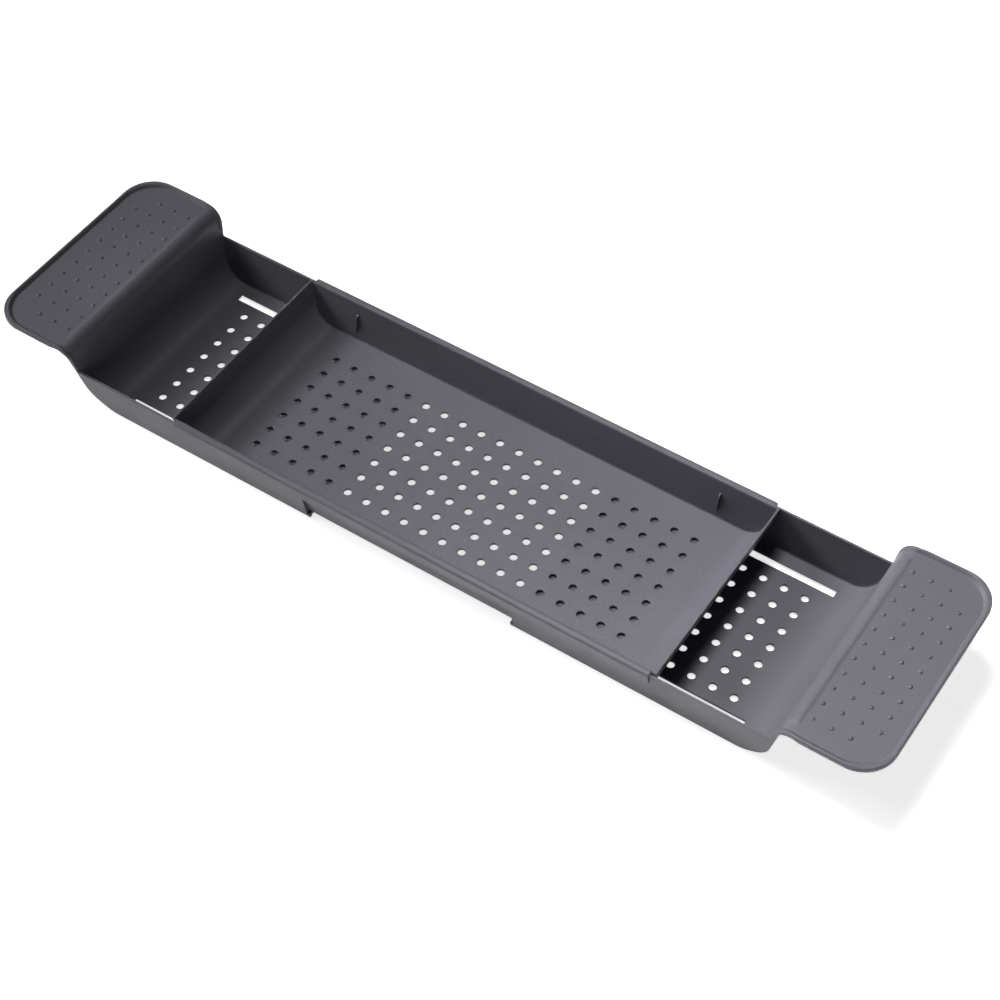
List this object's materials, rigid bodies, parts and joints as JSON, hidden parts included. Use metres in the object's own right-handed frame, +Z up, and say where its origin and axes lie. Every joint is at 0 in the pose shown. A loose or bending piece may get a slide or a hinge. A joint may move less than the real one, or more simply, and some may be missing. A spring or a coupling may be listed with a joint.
{
  "type": "bath rack",
  "caption": "Extendable rack that lies across a bath: a perforated middle tray with a sliding end tray at each end, each with a wing that rests on the bath's rim.",
  "frame": {"origin": "middle of the rack, on the plane that the feet of the end trays stand on", "axes": "+X along the rack's length towards the right end tray, +Y to the back, +Z up"},
  "size_m": [0.69, 0.1704, 0.0564],
  "materials": {
    "tray_plastic": "fine matte grain, dark grey"
  },
  "bodies": {
    "centre": {"centre_tray": "tray_plastic"},
    "right_end": {"right_end_tray": "tray_plastic"},
    "left_end": {"left_end_tray": "tray_plastic"}
  },
  "joints": [
    {"name": "right_end_slide", "type": "slide", "parent": "centre", "child": "right_end", "axis": [1, 0, 0], "range_m": [-0.08, 0.06]},
    {"name": "left_end_slide", "type": "slide", "parent": "centre", "child": "left_end", "axis": [-1, 0, 0], "range_m": [-0.08, 0.06]}
  ]
}
